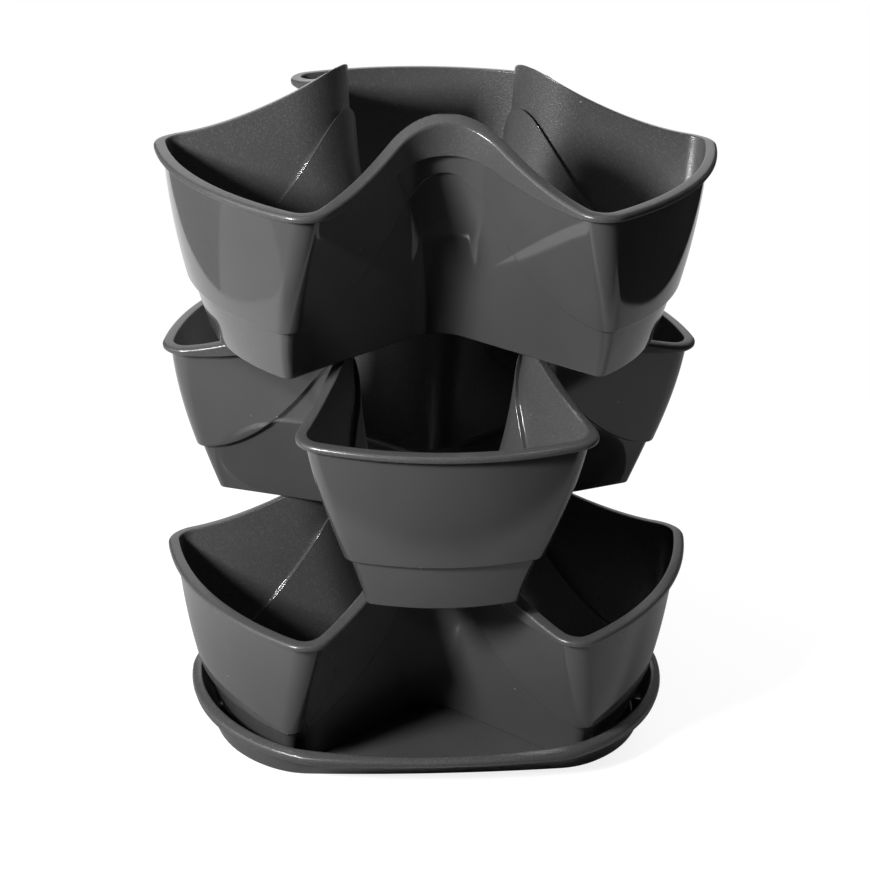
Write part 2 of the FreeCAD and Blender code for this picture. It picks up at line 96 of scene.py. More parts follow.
# Step in the wall: low on the lobes, high in the valleys, with a ledge inside
STEP_LOW = 42.65
STEP_CLIMB = 95.4
STEP_FAR = 182.0
STEP_NEAR = 79.0
STEP_SWEEP = 2.0
STEP_STOP = 1.3
STEP_ROUND = 0.8
STEP_FILLET = 0.4
BESIDE_STEP = 1.0
LEDGE_UP = 0.7
LEDGE_UNDER = -1.7
LEDGE_ROUND = 1.3
LEDGE_FILLET = 1.2
BESIDE_LEDGE = 0.8

DRAIN_RADIUS = 4.5
DRAIN_PLACES = (62.0, 118.0)
DRAIN_SIDES = 40

# Grain of the mould's skin, from 0 for polished to 1
INSIDE_GRAIN = 1.0
LEDGE_GRAIN = 0.0
DISH_GRAIN = 0.25
RIM_GRAIN = 0.8
OUTER_GRAIN = 0.0

# Places of the pieces: turn about the axis in degrees, and height
PLACES = {
    "saucer": (90.0, 0.0),
    "bottom_pot": (90.0, 3.0),
    "middle_pot": (150.0, 163.6),
    "top_pot": (90.0, 324.2),
}

SETTLING_ROUNDS = 40
INNER_TRIANGLES = 1
FLOOR_TOLERANCE = 1e-5
JOIN_DISTANCE = 0.02
SHARP_ANGLE = math.radians(42)


def through_four(heights, values, z):
    """The cubic through four heights and values."""
    total = np.zeros_like(z)
    for i, (height, value) in enumerate(zip(heights, values)):
        term = np.full_like(z, value)
        for j, other in enumerate(heights):
            if j != i:
                term = term * (z - other) / (height - other)
        total = total + term
    return total


def station_list(counts):
    """The part of the outline and the fraction along it, for each station of a half lobe."""
    stations = [(counts[0][0], 0.0)]
    for part, count in counts:
        stations += [(part, (i + 1) / count) for i in range(count)]
    return stations


def follow_arcs(stations, skin, centres, rounds, turns):
    """Points on an outline of touching arcs: face, corner, side and valley."""
    x = np.zeros_like(skin)
    y = np.zeros_like(skin)
    (face_x, face_y), (corner_x, corner_y), (valley_x, valley_y) = centres
    face_round, corner_round, valley_round = rounds
    face_turn, side_turn = turns
    for column, (part, along) in enumerate(stations):
        s = skin[:, column]
        if part == "side":
            turn = side_turn[:, column]
            ends = []
            for cx, cy, reach in ((corner_x, corner_y, corner_round[:, column] + s),
                                  (valley_x, valley_y, s - valley_round[:, column])):
                ends.append((cx[:, column] + reach * np.cos(turn), cy[:, column] + reach * np.sin(turn)))
            (ax, ay), (bx, by) = ends
            x[:, column] = ax + (bx - ax) * along
            y[:, column] = ay + (by - ay) * along
            continue
        if part == "face":
            turn = face_turn[:, column] * along
            cx, cy, reach = face_x, face_y, face_round[:, column] + s
        elif part == "corner":
            turn = face_turn[:, column] + (side_turn - face_turn)[:, column] * along
            cx, cy, reach = corner_x, corner_y, corner_round[:, column] + s
        else:
            turn = side_turn[:, column] + (VALLEY_TURN - side_turn[:, column]) * along
            cx, cy, reach = valley_x, valley_y, s - valley_round[:, column]
        x[:, column] = cx[:, column] + reach * np.cos(turn)
        y[:, column] = cy[:, column] + reach * np.sin(turn)
    return x, y


POT_COLUMNS = station_list(POT_STATIONS)


def pot_outline(z, skin):
    """Points of half a lobe of the pot, a row for each surface and a column for each station."""
    level = {name: through_four(POT_HEIGHTS, values, z) for name, values in POT_OUTLINE.items()}
    face_x = level["reach"] - level["lobe_round"]
    inner = level["lobe_round"] - level["corner_round"]
    corner_x = face_x + np.sqrt(inner ** 2 - level["corner_spread"] ** 2)
    corner_y = level["corner_spread"]
    valley_away = level["nose"] + level["valley_round"]
    valley_x = valley_away * math.cos(VALLEY_TURN)
    valley_y = valley_away * math.sin(VALLEY_TURN)
    across_x, across_y = valley_x - corner_x, valley_y - corner_y
    lean = np.arccos((level["corner_round"] + level["valley_round"]) / np.hypot(across_x, across_y))
    side_turn = np.arctan2(across_y, across_x) - lean
    face_turn = np.arctan2(corner_y, corner_x - face_x)
    centres = ((face_x, np.zeros_like(z)), (corner_x, corner_y), (valley_x, valley_y))
    rounds = (level["lobe_round"], level["corner_round"], level["valley_round"])
    return follow_arcs(POT_COLUMNS, skin, centres, rounds, (face_turn, side_turn))


def rim_climb(r):
    """How far up a hump the rim is at a distance from the axis, from 0 to 1."""
    return np.clip((RIM_FAR - r) / (RIM_FAR - RIM_NEAR), 0, 1)


def rim_at(r):
    return RIM_HEIGHT + HUMP_RISE * rim_climb(r) ** RIM_SWEEP


def skirt_at(r):
    return rim_at(r) - LIP_DROP - SKIRT_DROP * rim_climb(r) ** SKIRT_SWEEP


def step_at(r):
    climb = np.clip((STEP_FAR - r) / (STEP_FAR - STEP_NEAR), 0, STEP_STOP)
    return STEP_LOW + STEP_CLIMB * climb ** STEP_SWEEP


def row_on(surface, skin, shift):
    """Heights at which the skin meets a surface that sweeps round the axis, moved up by a shift."""
    skin = np.broadcast_to(np.asarray(skin, float), (1, len(POT_COLUMNS))).copy()
    shift = np.broadcast_to(np.asarray(shift, float), skin.shape)
    z = np.full_like(skin, RIM_HEIGHT / 2)
    for _ in range(SETTLING_ROUNDS):
        x, y = pot_outline(z, skin)
        z = (z + surface(np.hypot(x, y)) + shift) / 2
    return skin, z


def row_level(skin, height):
    skin = np.full((1, len(POT_COLUMNS)), float(skin))
    return skin, np.full_like(skin, float(height))


def rounding(skin, height, radius, start, end, steps):
    """Skins and heights along a small round about a middle, its turns in degrees."""
    turns = [math.radians(start + (end - start) * i / steps) for i in range(steps + 1)]
    return [(skin + radius * math.cos(turn), height + radius * math.sin(turn)) for turn in turns]


def round_on(surface, *rounded):
    """Rows along a small round that follows a surface."""
    return [row_on(surface, skin, shift) for skin, shift in rounding(*rounded)]


def round_level(*rounded):
    return [row_level(skin, height) for skin, height in rounding(*rounded)]


def run_to(rows, end, between):
    """Add rows from the last one to an end, with some evenly spaced between."""
    skin, z = rows[-1]
    for i in range(1, between + 1):
        along = i / (between + 1)
        rows.append((skin + (end[0] - skin) * along, z + (end[1] - z) * along))
    rows.append(end)


def pot_rows():
    """The surface of the pot up the inside, over the rim, down the outside and under the foot.

    Gives the rows and the grain of the mould's skin on each."""
    inner_low = INSIDE - STEP_INSET
    outer_low = OUTSIDE - STEP_INSET
    behind = LIP_REACH - WALL
    grain = []
    # the floor runs up into the lower wall in a small fillet
    rows = round_level(inner_low - FLOOR_FILLET, FLOOR_TOP + FLOOR_FILLET, FLOOR_FILLET, -90, 0, 5)
    run_to(rows, row_on(step_at, inner_low, LEDGE_UP - LEDGE_ROUND - BESIDE_LEDGE), 9)
    grain += [INSIDE_GRAIN] * (len(rows) - len(grain))
    # the ledge inside
    rows += round_on(step_at, inner_low + LEDGE_ROUND, LEDGE_UP - LEDGE_ROUND, LEDGE_ROUND, 180, 90, 5)
    rows += round_on(step_at, INSIDE - LEDGE_FILLET, LEDGE_UP + LEDGE_FILLET, LEDGE_FILLET, -90, 0, 4)
    grain += [LEDGE_GRAIN] * (len(rows) - len(grain))
    # upper wall inside, up to the rim
    rows.append(row_on(step_at, INSIDE, LEDGE_UP + LEDGE_FILLET + BESIDE_LEDGE))
    run_to(rows, row_on(rim_at, INSIDE, -BELOW_RIM), 13)
    grain += [INSIDE_GRAIN] * (len(rows) - len(grain))
    # over the lip
    skin, z = row_on(rim_at, 0.0, 0.0)
    climb = rim_climb(np.hypot(*pot_outline(z, skin)))
    lip_round = LOBE_LIP_ROUND + (HUMP_LIP_ROUND - LOBE_LIP_ROUND) * climb
    rows += round_on(rim_at, INSIDE + LIP_INNER_ROUND, -LIP_INNER_ROUND, LIP_INNER_ROUND, 180, 90, 4)
    rows += [row_on(rim_at, skin, -drop) for skin, drop in LIP_TOP]
    rows += round_on(rim_at, LIP_REACH - lip_round, -LIP_SHOULDER - lip_round, lip_round, LIP_TURN, 0, 7)
    # down the skirt, round its lower edge and up behind it
    run_to(rows, row_on(skirt_at, LIP_REACH, SKIRT_ROUND + ABOVE_SKIRT_ROUND), 5)
    rows += round_on(skirt_at, LIP_REACH - SKIRT_ROUND, SKIRT_ROUND, SKIRT_ROUND, 0, -90, 3)
    rows += round_on(skirt_at, behind + SKIRT_ROUND, SKIRT_ROUND, SKIRT_ROUND, -90, -180, 3)
    run_to(rows, row_on(rim_at, behind, -WALL - BEHIND_SKIRT_FILLET), 4)
    rows.append(row_on(rim_at, behind - BEHIND_SKIRT_FILLET, -WALL))
    rows.append(row_on(rim_at, OUTSIDE + UNDER_LIP_FILLET, -WALL))
    rows.append(row_on(rim_at, OUTSIDE, -WALL - UNDER_LIP_FILLET))
    grain += [RIM_GRAIN] * (len(rows) - len(grain))
    # upper wall outside, down over the step and on to the foot
    run_to(rows, row_on(step_at, OUTSIDE, LEDGE_UNDER + STEP_ROUND + BESIDE_STEP), 15)
    rows += round_on(step_at, OUTSIDE - STEP_ROUND, LEDGE_UNDER + STEP_ROUND, STEP_ROUND, 0, -90, 3)
    rows += round_on(step_at, outer_low + STEP_FILLET, LEDGE_UNDER - STEP_FILLET, STEP_FILLET, 90, 180, 2)
    rows.append(row_on(step_at, outer_low, LEDGE_UNDER - STEP_FILLET - BESIDE_STEP))
    run_to(rows, row_level(outer_low, ABOVE_FOOT), 9)
    # round the edge of the foot and up to the underside of the floor
    rows += round_level(outer_low - FOOT_ROUND, FOOT_ROUND, FOOT_ROUND, 0, -90, 3)
    rows += round_level(inner_low + FOOT_ROUND, FOOT_ROUND, FOOT_ROUND, -90, -180, 3)
    rows.append(row_level(inner_low, ABOVE_FOOT))
    run_to(rows, row_level(inner_low, SEAT_HEIGHT - SEAT_FILLET), 2)
    rows.append(row_level(inner_low - SEAT_FILLET_CUT, SEAT_HEIGHT - SEAT_FILLET_CUT))
    rows.append(row_level(inner_low - SEAT_FILLET, SEAT_HEIGHT))
    grain += [OUTER_GRAIN] * (len(rows) - len(grain))
    return rows, grain


def drain_ring(place):
    """Points round a drain hole at a place along the lobe."""
    turns = [2 * math.pi * i / DRAIN_SIDES for i in range(DRAIN_SIDES)]
    return [(place + DRAIN_RADIUS * math.cos(turn), DRAIN_RADIUS * math.sin(turn)) for turn in turns]


class Shell:
    """Points and faces of one lobe, from -60 to 60 degrees, gathered part by part."""

    def __init__(self):
        self.points = []
        self.faces = []
        self.grain = []

    def add_grid(self, x, y, z, grain):
        """Faces over half a lobe's rows and their mirror image. Gives the first and the last row."""
        x = np.concatenate([x[:, :0:-1], x], axis=1)
        y = np.concatenate([-y[:, :0:-1], y], axis=1)
        z = np.concatenate([z[:, :0:-1], z], axis=1)
        first = len(self.points)
        rows, columns = x.shape
        self.points += [tuple(p) for p in np.stack([x, y, z], axis=-1).reshape(-1, 3).tolist()]
        self.grain += np.repeat(grain, columns).tolist()
        for row in range(rows - 1):
            for column in range(columns - 1):
                a = first + row * columns + column
                self.faces.append((a, a + 1, a + columns + 1, a + columns))
        return list(zip(x[0], y[0])), list(zip(x[-1], y[-1]))

    def add_floor(self, edge, height, upwards, holes, grain):
        """A flat wedge from the axis to an edge, round drain holes."""
        outline = [Vector((0, 0))] + [Vector(p) for p in edge]
        loops = [list(range(len(outline)))]
        for place in holes:
            start = len(outline)
            outline += [Vector(p) for p in drain_ring(place)]
            loops.append(list(range(start, len(outline))))
        edges = [(loop[i - 1], loop[i]) for loop in loops for i in range(len(loop))]
        flat, _, triangles, _, _, _ = geometry.delaunay_2d_cdt(
            outline, edges, [], INNER_TRIANGLES, FLOOR_TOLERANCE)
        first = len(self.points)
        self.points += [(p.x, p.y, height) for p in flat]
        self.grain += [grain] * len(flat)
        for triangle in triangles:
            middle = sum((flat[i] for i in triangle), Vector((0, 0))) / 3
            if any((middle - Vector((place, 0))).length < DRAIN_RADIUS for place in holes):
                continue
            corners = [flat[i] for i in triangle]
            turns_left = (corners[1] - corners[0]).cross(corners[2] - corners[0]) > 0
            order = triangle if turns_left == upwards else triangle[::-1]
            self.faces.append(tuple(first + i for i in order))

    def add_tube(self, place, low, high):
        """The wall of a drain hole through the floor."""
        first = len(self.points)
        self.points += [(x, y, height) for x, y in drain_ring(place) for height in (low, high)]
        self.grain += [INSIDE_GRAIN] * (2 * DRAIN_SIDES)
        for i in range(DRAIN_SIDES):
            a, b = first + 2 * i, first + 2 * ((i + 1) % DRAIN_SIDES)
            self.faces.append((b, a, a + 1, b + 1))

    def object(self, name):
        mesh = bpy.data.meshes.new(name)
        mesh.from_pydata([Vector(p) * METRES for p in self.points], [], self.faces)
        mesh.attributes.new("grain", "FLOAT", "POINT").data.foreach_set("value", self.grain)
        mesh.validate()
        return add_object(name, mesh)


def add_object(name, data):
    """An object in the scene, with its mesh, lamp or camera."""
    obj = bpy.data.objects.new(name, data)
    bpy.context.scene.collection.objects.link(obj)
    return obj


def pot_lobe():
    """One lobe of a pot, a third of the moulding."""
    rows, grain = pot_rows()
    skin = np.concatenate([row[0] for row in rows])
    z = np.concatenate([row[1] for row in rows])
    x, y = pot_outline(z, skin)
    shell = Shell()
    floor_edge, seat_edge = shell.add_grid(x, y, z, grain)
    shell.add_floor(floor_edge, FLOOR_TOP, True, DRAIN_PLACES, INSIDE_GRAIN)
    shell.add_floor(seat_edge, SEAT_HEIGHT, False, DRAIN_PLACES, OUTER_GRAIN)
    for place in DRAIN_PLACES:
        shell.add_tube(place, SEAT_HEIGHT, FLOOR_TOP)
    return shell.object("pot_lobe")


# Saucer outline at its base and its rim, straight between them
SAUCER_HEIGHT = 33.7
SAUCER_OUTLINE = {
    "reach": (178.8, 187.4),
    "lobe_round": (88.0, 137.0),
    "side": (132.7, 161.5),
    "side_round": (1500.0, 385.0),
    "corner_round": (60.0, 60.0),
}
SAUCER_STATIONS = (("face", 26), ("corner", 20), ("valley", 30))
SAUCER_COLUMNS = station_list(SAUCER_STATIONS)
SAUCER_WALL = 2.6
SAUCER_FLOOR = 3.0
SAUCER_FLOOR_FILLET = 2.5
SAUCER_WALL_LOW, SAUCER_WALL_HIGH = 9.3, 29.1
SAUCER_BASE_ROUND = 2.0

# Saucer lip, falling outwards to a broad round
SAUCER_LIP_REACH = 8.2
SAUCER_LIP_DROP = 9.9
SAUCER_LIP_FALL = 3.0
SAUCER_LIP_INNER_ROUND = 1.2
SAUCER_LIP_TOP = ((1.5, 0.35), (3.5, 1.0))
SAUCER_LIP_ROUND = 5.0
SAUCER_LIP_SHOULDER = 1.2
SAUCER_LIP_EDGE = 0.9
SAUCER_LIP_SIDE = (7.2, 8.5)
SAUCER_UNDER_LIP_FILLET = 0.6
SAUCER_UNDER_LIP_RISE = 0.7
ABOVE_SAUCER_EDGE = 1.6
BELOW_SAUCER_LIP = 1.0
SAUCER_ROW_DROP = 2.6

# Upright ribs that keep a pot's foot in the middle
RIB_TURN = math.radians(12)
RIB_THICK = 2.4
RIB_TOP = 13.0
RIB_INNER = 172.2
RIB_EDGE = 0.5
RIB_LEVELS = 4
RIB_SUNK = 1.0


def saucer_outline(z, skin):
    """Points of half a lobe of the saucer, whose valley is a long shallow arc."""
    part = np.clip(z / SAUCER_HEIGHT, 0, 1)
    level = {name: low + (high - low) * part for name, (low, high) in SAUCER_OUTLINE.items()}
    face_x = level["reach"] - level["lobe_round"]
    side_away = level["side"] - level["side_round"]
    side_x = side_away * math.cos(VALLEY_TURN)
    side_y = side_away * math.sin(VALLEY_TURN)
    across = np.hypot(side_x - face_x, side_y)
    bearing = np.arctan2(side_y, side_x - face_x)
    to_face = level["lobe_round"] - level["corner_round"]
    to_side = level["side_round"] - level["corner_round"]
    along = (to_face ** 2 - to_side ** 2 + across ** 2) / (2 * across)
    off = np.sqrt(to_face ** 2 - along ** 2)
    corner_x = face_x + along * np.cos(bearing) + off * np.cos(bearing + math.pi / 2)
    corner_y = along * np.sin(bearing) + off * np.sin(bearing + math.pi / 2)
    face_turn = np.arctan2(corner_y, corner_x - face_x)
    meet = np.arctan2(corner_y - side_y, corner_x - side_x)
    centres = ((face_x, np.zeros_like(z)), (corner_x, corner_y), (side_x, side_y))
    rounds = (level["lobe_round"], level["corner_round"], -level["side_round"])
    return follow_arcs(SAUCER_COLUMNS, skin, centres, rounds, (face_turn, meet))


def saucer_rows():
    """The surface of the saucer from its floor over the lip to its underside.

    Gives skins and heights, and the grain on each."""
    inner = -SAUCER_WALL / 2
    outer = SAUCER_WALL / 2
    top = SAUCER_HEIGHT
    reach = SAUCER_LIP_REACH
    hollow = reach - SAUCER_WALL
    fillet = SAUCER_FLOOR_FILLET
    small = SAUCER_LIP_INNER_ROUND
    broad = SAUCER_LIP_ROUND
    edge = SAUCER_LIP_EDGE
    edge_middle = top - SAUCER_LIP_DROP + edge
    under_lip = top - SAUCER_LIP_FALL - SAUCER_WALL
    under_fillet = SAUCER_UNDER_LIP_FILLET
    grain = []
    # the floor and the wall inside
    rows = rounding(inner - fillet, SAUCER_FLOOR + fillet, fillet, -90, 0, 5)
    rows += [(inner, height) for height in np.linspace(SAUCER_WALL_LOW, SAUCER_WALL_HIGH, 7)]
    grain += [DISH_GRAIN] * (len(rows) - len(grain))
    # over the lip and down to its edge
    rows += rounding(inner + small, top - small, small, 180, 100, 4)
    rows += [(skin, top - drop) for skin, drop in SAUCER_LIP_TOP]
    rows += rounding(reach - broad, top - SAUCER_LIP_SHOULDER - broad, broad, 72, 0, 9)
    rows += [(reach, top - drop) for drop in SAUCER_LIP_SIDE]
    rows += rounding(reach - edge, edge_middle, edge, 0, -90, 3)
    grain += [RIM_GRAIN] * (len(rows) - len(grain))
    # up behind the lip, down the wall outside and under the base
    rows += rounding(hollow + edge, edge_middle, edge, -90, -180, 3)
    rows += [(hollow, edge_middle + ABOVE_SAUCER_EDGE), (hollow, under_lip - BELOW_SAUCER_LIP)]
    rows += [(hollow - under_fillet, under_lip), (outer + under_fillet, under_lip + SAUCER_UNDER_LIP_RISE)]
    rows += [(outer, under_lip - SAUCER_ROW_DROP * i) for i in range(10)]
    rows += rounding(outer - SAUCER_BASE_ROUND, SAUCER_BASE_ROUND, SAUCER_BASE_ROUND, 0, -90, 4)
    grain += [OUTER_GRAIN] * (len(rows) - len(grain))
    return np.array(rows), grain


def add_rib(shell, side):
    """An upright rib across the gap between the saucer's wall and the pot's foot, let into both ends."""
    height = np.linspace(SAUCER_FLOOR - RIB_SUNK, RIB_TOP - RIB_EDGE, RIB_LEVELS)
    wall_x, wall_y = saucer_outline(height[:, None].repeat(len(SAUCER_COLUMNS), axis=1),
                                    np.zeros((len(height), len(SAUCER_COLUMNS))))
    bearing = np.arctan2(wall_y, wall_x)
    along = (math.cos(side * RIB_TURN), math.sin(side * RIB_TURN))
    across = (-along[1], along[0])
    half = RIB_THICK / 2
    loops = []
    for z, inset in [(z, 0.0) for z in height] + [(RIB_TOP, RIB_EDGE)]:
        row = min(RIB_LEVELS - 1, len(loops))
        reach = np.hypot(np.interp(RIB_TURN, bearing[row], wall_x[row]),
                         np.interp(RIB_TURN, bearing[row], wall_y[row]))
        ends = ((RIB_INNER + inset, -half + inset), (reach, -half + inset),
                (reach, half - inset), (RIB_INNER + inset, half - inset))
        loops.append([(r * along[0] + t * across[0], r * along[1] + t * across[1], z) for r, t in ends])
    first = len(shell.points)
    shell.points += [p for loop in loops for p in loop]
    shell.grain += [DISH_GRAIN] * (4 * len(loops))
    for row in range(len(loops) - 1):
        for i in range(4):
            a, b = first + 4 * row + i, first + 4 * row + (i + 1) % 4
            shell.faces.append((a, b, b + 4, a + 4))
    top = first + 4 * (len(loops) - 1)
    shell.faces.append((top, top + 1, top + 2, top + 3))
    shell.faces.append((first + 3, first + 2, first + 1, first))


def saucer_lobe():
    """One lobe of the saucer, a third of the moulding."""
    rows, grain = saucer_rows()
    skin = np.repeat(rows[:, :1], len(SAUCER_COLUMNS), axis=1)
    z = np.repeat(rows[:, 1:], len(SAUCER_COLUMNS), axis=1)
    x, y = saucer_outline(z, skin)
    shell = Shell()
    floor_edge, base_edge = shell.add_grid(x, y, z, grain)
    shell.add_floor(floor_edge, SAUCER_FLOOR, True, (), DISH_GRAIN)
    shell.add_floor(base_edge, 0.0, False, (), OUTER_GRAIN)
    for side in (-1, 1):
        add_rib(shell, side)
    return shell.object("saucer_lobe")


# Nodes for the repeated lobes, the finish and the surround

def add_node(tree, kind, values=None, **settings):
    """A node with its settings, and its inputs by name or number, as values or from sockets."""
    node = tree.nodes.new(kind)
    for name, setting in settings.items():
        setattr(node, name, setting)
    for key, value in (values or {}).items():
        if isinstance(value, bpy.types.NodeSocket):
            tree.links.new(value, node.inputs[key])
        else:
            node.inputs[key].default_value = value
    return node


def math_node(tree, operation, *values):
    return add_node(tree, "ShaderNodeMath", dict(enumerate(values)), operation=operation).outputs[0]


def times(tree, first, second):
    return math_node(tree, "MULTIPLY", first, second)


def plus(tree, first, second):
    return math_node(tree, "ADD", first, second)


def ramp(tree, value, low, high):
    """A smooth step that is 0 at low and 1 at high."""
    return add_node(tree, "ShaderNodeMapRange", {"Value": value, "From Min": low, "From Max": high},
                    interpolation_type="SMOOTHSTEP").outputs["Result"]


def band(tree, value, low, high, edge):
    """1 between low and high, with soft edges down to 0."""
    return times(tree, ramp(tree, value, low - edge, low + edge),
                 ramp(tree, value, high + edge, high - edge))


def emission(tree, strength):
    return add_node(tree, "ShaderNodeEmission", {"Strength": strength}).outputs[0]


def mixed_shader(tree, share, first, second):
    return add_node(tree, "ShaderNodeMixShader", {0: share, 1: first, 2: second}).outputs[0]


def added_shader(tree, first, second):
    return add_node(tree, "ShaderNodeAddShader", {0: first, 1: second}).outputs[0]


def node_group(name, kind, inputs, outputs):
    """A node group with named sockets, and the sockets inside it."""
    tree = bpy.data.node_groups.new(name, kind)
    for side, sockets in (("INPUT", inputs), ("OUTPUT", outputs)):
        for label, socket in sockets:
            tree.interface.new_socket(label, in_out=side, socket_type="NodeSocket" + socket)
    return tree, tree.nodes.new("NodeGroupInput").outputs, tree.nodes.new("NodeGroupOutput").inputs


def repeat_tree():
    """Geometry Nodes that repeat a lobe round the axis, join the copies and set them at their height."""
    tree, given, result = node_group(
        "lobes_round_axis", "GeometryNodeTree",
        (("Lobe", "Geometry"), ("Lobes", "Int"), ("First Turn", "Float"), ("Height", "Float"),
         ("Join Distance", "Float"), ("Plastic", "Material")),
        (("Moulding", "Geometry"),))
    points = add_node(tree, "GeometryNodePoints", {"Count": given["Lobes"]})
    index = add_node(tree, "GeometryNodeInputIndex")
    share = math_node(tree, "DIVIDE", index.outputs[0], given["Lobes"])
    turn = math_node(tree, "MULTIPLY_ADD", share, 2 * math.pi, given["First Turn"])
    angles = add_node(tree, "ShaderNodeCombineXYZ", {"Z": turn})
    rotation = add_node(tree, "FunctionNodeEulerToRotation", {0: angles.outputs[0]})
    copies = add_node(tree, "GeometryNodeInstanceOnPoints", {
        "Points": points.outputs[0], "Instance": given["Lobe"], "Rotation": rotation.outputs[0]})
    mesh = add_node(tree, "GeometryNodeRealizeInstances", {0: copies.outputs[0]})
    joined = add_node(tree, "GeometryNodeMergeByDistance",
                      {"Geometry": mesh.outputs[0], "Distance": given["Join Distance"]})
    shift = add_node(tree, "ShaderNodeCombineXYZ", {"Z": given["Height"]})
    placed = add_node(tree, "GeometryNodeTransform",
                      {"Geometry": joined.outputs[0], "Translation": shift.outputs[0]})
    finished = add_node(tree, "GeometryNodeSetMaterial",
                        {"Geometry": placed.outputs[0], "Material": given["Plastic"]})
    tree.links.new(finished.outputs[0], result["Moulding"])
    return tree


def moulding(lobe, name, tree, plastic):
    """A whole piece from its lobe, as a plain mesh at its place in the tower."""
    turn, height = PLACES[name]
    settings = {
        "Lobes": LOBES,
        "First Turn": math.radians(turn),
        "Height": height * METRES,
        "Join Distance": JOIN_DISTANCE * METRES,
        "Plastic": plastic,
    }
    source = add_object(name + "_lobe", lobe.data)
    modifier = source.modifiers.new("lobes", "NODES")
    modifier.node_group = tree
    for item in tree.interface.items_tree:
        if item.in_out == "INPUT" and item.name in settings:
            modifier[item.identifier] = settings[item.name]
    depsgraph = bpy.context.evaluated_depsgraph_get()
    mesh = bpy.data.meshes.new_from_object(source.evaluated_get(depsgraph))
    bpy.data.objects.remove(source)
    mesh.name = name + "_moulding"
    mesh.shade_smooth()
    mesh.set_sharp_from_angle(angle=SHARP_ANGLE)
    return add_object(name + "_moulding", mesh)


# Finish: glossy dark plastic, sizes in metres

PLASTIC = (0.046, 0.046, 0.046, 1)
DRIFT, DRIFT_SIZE = 0.25, 0.05
FLECK, FLECK_LOW, FLECK_HIGH = 0.6, 0.45, 0.8
GRAIN_SIZE = 0.0013
POLISH_GRAIN = 0.02
RIPPLE_SIZE, RIPPLE_SHARE = 0.04, 0.9
WIPE_SIZE, WIPE = 0.03, 0.02
DUST = (0.3, 0.3, 0.3, 1)
DUST_SPACING, DUST_SIZE, DUST_SHARE = 0.02, 0.0009, 0.3
DUST_ROUGHNESS = 0.4


def noise(tree, position, size, detail=1.0):
    """Noise from 0 to 1 with lumps of a size in metres."""
    scale = math_node(tree, "DIVIDE", 1.0, size)
    return add_node(tree, "ShaderNodeTexNoise",
                    {"Vector": position, "Scale": scale, "Detail": detail}).outputs[0]


def mould_skin_group():
    """The height of the mould's skin: fine grain where there is any, over long low ripples."""
    tree, given, result = node_group(
        "mould_skin", "ShaderNodeTree",
        (("Position", "Vector"), ("Grain", "Float"), ("Grain Size", "Float"), ("Polish Grain", "Float"),
         ("Ripple Size", "Float"), ("Ripple Share", "Float")),
        (("Height", "Float"),))
    amount = math_node(tree, "MAXIMUM", given["Grain"], given["Polish Grain"])
    fine = times(tree, noise(tree, given["Position"], given["Grain Size"], detail=2.0), amount)
    ripple = times(tree, noise(tree, given["Position"], given["Ripple Size"]), given["Ripple Share"])
    tree.links.new(plus(tree, fine, ripple), result["Height"])
    return tree


def dust_group():
    """Where sparse specks of dust lie."""
    tree, given, result = node_group(
        "dust_specks", "ShaderNodeTree",
        (("Position", "Vector"), ("Spacing", "Float"), ("Speck Size", "Float"), ("Share", "Float")),
        (("Mask", "Float"),))
    scale = math_node(tree, "DIVIDE", 1.0, given["Spacing"])
    cells = add_node(tree, "ShaderNodeTexVoronoi", {"Vector": given["Position"], "Scale": scale})
    away = times(tree, cells.outputs["Distance"], given["Spacing"])
    pick = add_node(tree, "ShaderNodeSeparateColor", {0: cells.outputs["Color"]}).outputs[0]
    chosen = math_node(tree, "LESS_THAN", pick, given["Share"])
    tree.links.new(times(tree, ramp(tree, away, given["Speck Size"], 0.0), chosen), result["Mask"])
    return tree


def tone_group():
    """A colour that drifts a little, with pale flecks in the grain, and pales under dust."""
    tree, given, result = node_group(
        "plastic_tone", "ShaderNodeTree",
        (("Position", "Vector"), ("Colour", "Color"), ("Drift", "Float"), ("Drift Size", "Float"),
         ("Grain", "Float"), ("Fleck", "Float"), ("Fleck Size", "Float"), ("Dust", "Float"),
         ("Dust Colour", "Color")),
        (("Colour", "Color"),))
    lump = math_node(tree, "SUBTRACT", noise(tree, given["Position"], given["Drift Size"], detail=3.0), 0.5)
    fleck = ramp(tree, noise(tree, given["Position"], given["Fleck Size"]), FLECK_LOW, FLECK_HIGH)
    flecked = times(tree, times(tree, fleck, given["Fleck"]), given["Grain"])
    level = plus(tree, plus(tree, times(tree, lump, given["Drift"]), 1.0), flecked)
    toned = add_node(tree, "ShaderNodeVectorMath", {0: given["Colour"], "Scale": level}, operation="SCALE")
    mixed = add_node(tree, "ShaderNodeMix", {
        0: given["Dust"], 6: toned.outputs[0], 7: given["Dust Colour"]}, data_type="RGBA")
    tree.links.new(mixed.outputs[2], result["Colour"])
    return tree


def gloss_group():
    """Roughness from polished to grained skin, wiped unevenly and dulled by dust."""
    tree, given, result = node_group(
        "plastic_gloss", "ShaderNodeTree",
        (("Position", "Vector"), ("Grain", "Float"), ("Polished", "Float"), ("Grained", "Float"),
         ("Dust", "Float")),
        (("Roughness", "Float"),))
    skin = add_node(tree, "ShaderNodeMix", {0: given["Grain"], 2: given["Polished"], 3: given["Grained"]},
                    data_type="FLOAT").outputs[0]
    wipe = times(tree, noise(tree, given["Position"], WIPE_SIZE, detail=4.0), WIPE)
    dulled = times(tree, given["Dust"], DUST_ROUGHNESS)
    tree.links.new(plus(tree, plus(tree, skin, wipe), dulled), result["Roughness"])
    return tree


mould_skin, dust_specks = mould_skin_group(), dust_group()
plastic_tone, plastic_gloss = tone_group(), gloss_group()


